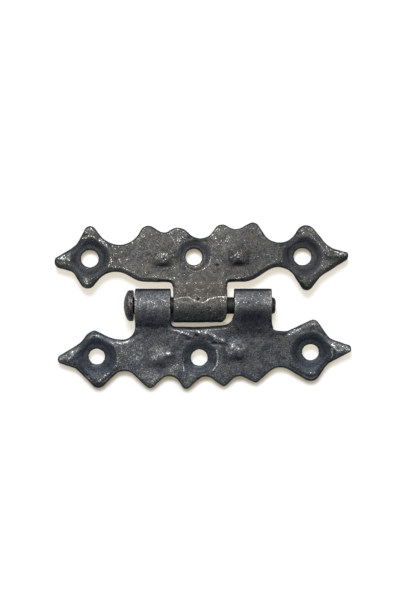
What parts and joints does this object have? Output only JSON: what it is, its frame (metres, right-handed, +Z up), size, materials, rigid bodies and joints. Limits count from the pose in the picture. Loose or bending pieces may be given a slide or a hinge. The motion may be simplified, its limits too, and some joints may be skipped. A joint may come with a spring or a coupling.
{
  "type": "decorative hinge",
  "caption": "Open wrought-iron hinge with star-ended leaves, waved and pointed edges, dished screw holes and rolled knuckles that turn on a domed rivet.",
  "frame": {"origin": "middle of the open hinge's footprint, on the table that it lies on, under the rivet's axis", "axes": "+X along the rivet to its plain end, +Y across to the leaf with the single knuckle, +Z up from the table to the front of the hinge"},
  "size_m": [0.071, 0.04, 0.0081],
  "materials": {
    "upper_leaf_iron": "dark hammered wrought iron, lightly pitted and rubbed bright on its edges",
    "lower_leaf_iron": "dark bluish wrought iron, hammered and pitted",
    "pin_iron": "dark iron rivet, rubbed brighter on its shank"
  },
  "bodies": {
    "lower": {"lower_leaf": "lower_leaf_iron", "hinge_pin": "pin_iron"},
    "upper": {"upper_leaf": "upper_leaf_iron"}
  },
  "joints": [
    {"name": "leaf_hinge", "type": "hinge", "parent": "lower", "child": "upper", "pos_m": [0, 0, 0.00405], "axis": [1, 0, 0], "range_deg": [-129, 162]}
  ]
}
